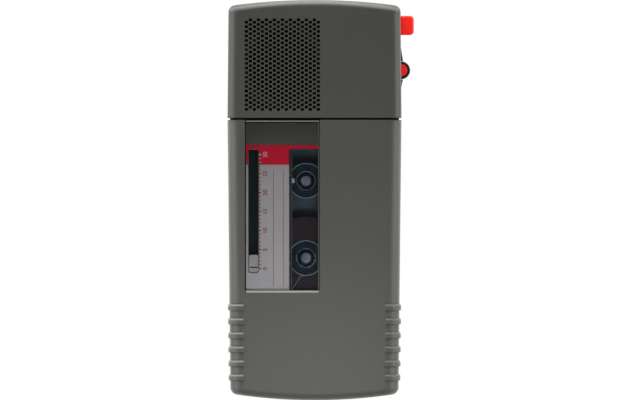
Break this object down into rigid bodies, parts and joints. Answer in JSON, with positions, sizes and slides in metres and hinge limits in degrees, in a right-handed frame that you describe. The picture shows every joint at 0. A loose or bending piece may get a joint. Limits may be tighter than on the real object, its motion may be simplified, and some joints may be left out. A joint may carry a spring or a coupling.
{
  "type": "cassette recorder",
  "caption": "Hand-held dictation recorder with a hinged windowed cassette door, drilled speaker panel, red side key, thumb slide and a steno cassette.",
  "frame": {"origin": "centre of the flat back face that the recorder lies on", "axes": "+X to the right of the front, +Y along the length towards the speaker end, +Z out of the front"},
  "size_m": [0.0671, 0.144, 0.0278],
  "materials": {
    "dark_shell": "fine-textured dark warm-grey moulded plastic",
    "black_plastic": "black moulded plastic",
    "red_key": "semi-gloss bright red plastic",
    "clear_pane": "clear moulded acrylic",
    "cassette_shell": "dark grey cassette plastic",
    "label_paper": "printed silver-grey paper",
    "pale_plastic": "pale grey moulded plastic",
    "tape_brown": "edge of wound brown magnetic tape",
    "steel": "plated steel",
    "zinc_plate": "passivated sheet steel",
    "brass": "turned brass",
    "rubber_black": "black rubber",
    "board_green": "lacquered circuit board",
    "component_black": "moulded component cases",
    "paper_cone": "black paper cone",
    "magnet_grey": "sintered magnet",
    "cell_jacket": "plain grey cell jacket",
    "felt": "felt pad on a leaf spring"
  },
  "bodies": {
    "casing": {"rear_shell": "dark_shell", "head_cover": "dark_shell", "speaker_grille": "dark_shell", "hinge_pins": "steel", "case_screws": "steel", "catch_springs": "steel", "record_switch": "component_black", "slide_switch": "component_black", "volume_control": "component_black", "earphone_jack": "black_plastic", "main_board": "board_green", "board_parts": "component_black", "speaker_frame": "zinc_plate", "speaker_cone": "paper_cone", "speaker_magnet": "magnet_grey", "microphone": "steel", "microphone_boot": "rubber_black", "battery_cells": "cell_jacket", "battery_contacts": "steel", "battery_springs": "steel", "chassis_plate": "zinc_plate", "drive_bushes": "brass", "flywheel_bracket": "zinc_plate", "motor": "steel", "drive_belt": "rubber_black", "drive_pivots": "steel", "record_head": "steel", "erase_head": "pale_plastic", "head_bracket": "zinc_plate"},
    "door": {"cassette_door": "dark_shell", "door_window": "clear_pane", "cassette_holder": "black_plastic", "cassette_lower": "cassette_shell", "cassette_upper": "cassette_shell", "cassette_label": "label_paper", "reel_window": "clear_pane", "tape_run": "tape_brown", "pressure_pad": "felt"},
    "battery_lid": {"battery_door": "dark_shell"},
    "record_button": {"record_key": "red_key", "key_spring": "steel"},
    "transport": {"transport_slide": "black_plastic", "slide_grip": "black_plastic", "slide_grip_face": "red_key"},
    "volume": {"volume_wheel": "black_plastic"},
    "takeup_drive": {"takeup_spindle": "pale_plastic"},
    "supply_drive": {"supply_spindle": "pale_plastic"},
    "takeup_reel": {"takeup_hub": "pale_plastic"},
    "supply_reel": {"supply_hub": "pale_plastic", "tape_pack": "tape_brown"},
    "capstan": {"flywheel": "brass", "capstan_shaft": "steel"},
    "motor_rotor": {"motor_pulley": "brass"},
    "idler_lever": {"idler_arm": "zinc_plate"},
    "idler": {"idler_wheel": "rubber_black"},
    "pinch_lever": {"pinch_arm": "zinc_plate"},
    "pinch": {"pinch_roller": "rubber_black"},
    "index": {"index_pointer": "pale_plastic"},
    "foot_roller": {"guide_roller_foot": "pale_plastic"},
    "head_roller": {"guide_roller_head": "pale_plastic"}
  },
  "joints": [
    {"name": "door_hinge", "type": "hinge", "parent": "casing", "child": "door", "pos_m": [0, -0.069, 0.017], "axis": [1, 0, 0], "range_deg": [0, 80]},
    {"name": "battery_lid_hinge", "type": "hinge", "parent": "casing", "child": "battery_lid", "pos_m": [0, -0.0389, 0.0012], "axis": [1, 0, 0], "range_deg": [0, 100]},
    {"name": "record_press", "type": "slide", "parent": "casing", "child": "record_button", "axis": [-1, 0, 0], "range_m": [0, 0.0015], "stiffness_N_per_m": 600, "springref_m": -0.0008, "deforming": ["key_spring"]},
    {"name": "transport_move", "type": "slide", "parent": "casing", "child": "transport", "axis": [0, 1, 0], "range_m": [-0.006, 0.003]},
    {"name": "volume_turn", "type": "hinge", "parent": "casing", "child": "volume", "pos_m": [-0.02341, 0.048, 0.0089], "axis": [0, 0, 1], "range_deg": [-150, 150]},
    {"name": "takeup_spin", "type": "hinge", "parent": "casing", "child": "takeup_drive", "pos_m": [-0.00306, 0.00695, 0.014], "axis": [0, 0, 1], "continuous": true},
    {"name": "supply_spin", "type": "hinge", "parent": "casing", "child": "supply_drive", "pos_m": [-0.00306, -0.02085, 0.014], "axis": [0, 0, 1], "continuous": true},
    {"name": "takeup_reel_spin", "type": "hinge", "parent": "door", "child": "takeup_reel", "pos_m": [-0.00306, 0.00695, 0.021], "axis": [0, 0, 1], "continuous": true},
    {"name": "supply_reel_spin", "type": "hinge", "parent": "door", "child": "supply_reel", "pos_m": [-0.00306, -0.02085, 0.021], "axis": [0, 0, 1], "continuous": true},
    {"name": "capstan_spin", "type": "hinge", "parent": "casing", "child": "capstan", "pos_m": [0.0202, 0.008, 0.01], "axis": [0, 0, 1], "continuous": true},
    {"name": "motor_spin", "type": "hinge", "parent": "casing", "child": "motor_rotor", "pos_m": [-0.0165, -0.0255, 0.01], "axis": [0, 0, 1], "continuous": true},
    {"name": "idler_swing", "type": "hinge", "parent": "casing", "child": "idler_lever", "pos_m": [0.0095, -0.00695, 0.012], "axis": [0, 0, 1], "range_deg": [-4, 4]},
    {"name": "idler_spin", "type": "hinge", "parent": "idler_lever", "child": "idler", "pos_m": [-0.00306, -0.00695, 0.013], "axis": [0, 0, 1], "continuous": true},
    {"name": "pinch_swing", "type": "hinge", "parent": "casing", "child": "pinch_lever", "pos_m": [0.0254, 0.0195, 0.017], "axis": [0, 0, -1], "range_deg": [0, 4.3]},
    {"name": "pinch_spin", "type": "hinge", "parent": "pinch_lever", "child": "pinch", "pos_m": [0.0259, 0.008, 0.021], "axis": [0, 0, 1], "continuous": true},
    {"name": "index_move", "type": "slide", "parent": "door", "child": "index", "axis": [0, 1, 0], "range_m": [0, 0.0375]},
    {"name": "foot_roller_spin", "type": "hinge", "parent": "door", "child": "foot_roller", "pos_m": [0.02, -0.038, 0.021], "axis": [0, 0, 1], "continuous": true},
    {"name": "head_roller_spin", "type": "hinge", "parent": "door", "child": "head_roller", "pos_m": [0.02, 0.024, 0.021], "axis": [0, 0, 1], "continuous": true}
  ],
  "couplings": [
    {"joint": "takeup_reel_spin", "follows": "takeup_spin", "ratio": 1},
    {"joint": "supply_spin", "follows": "supply_reel_spin", "ratio": 1},
    {"joint": "motor_spin", "follows": "capstan_spin", "ratio": 4.4054}
  ]
}
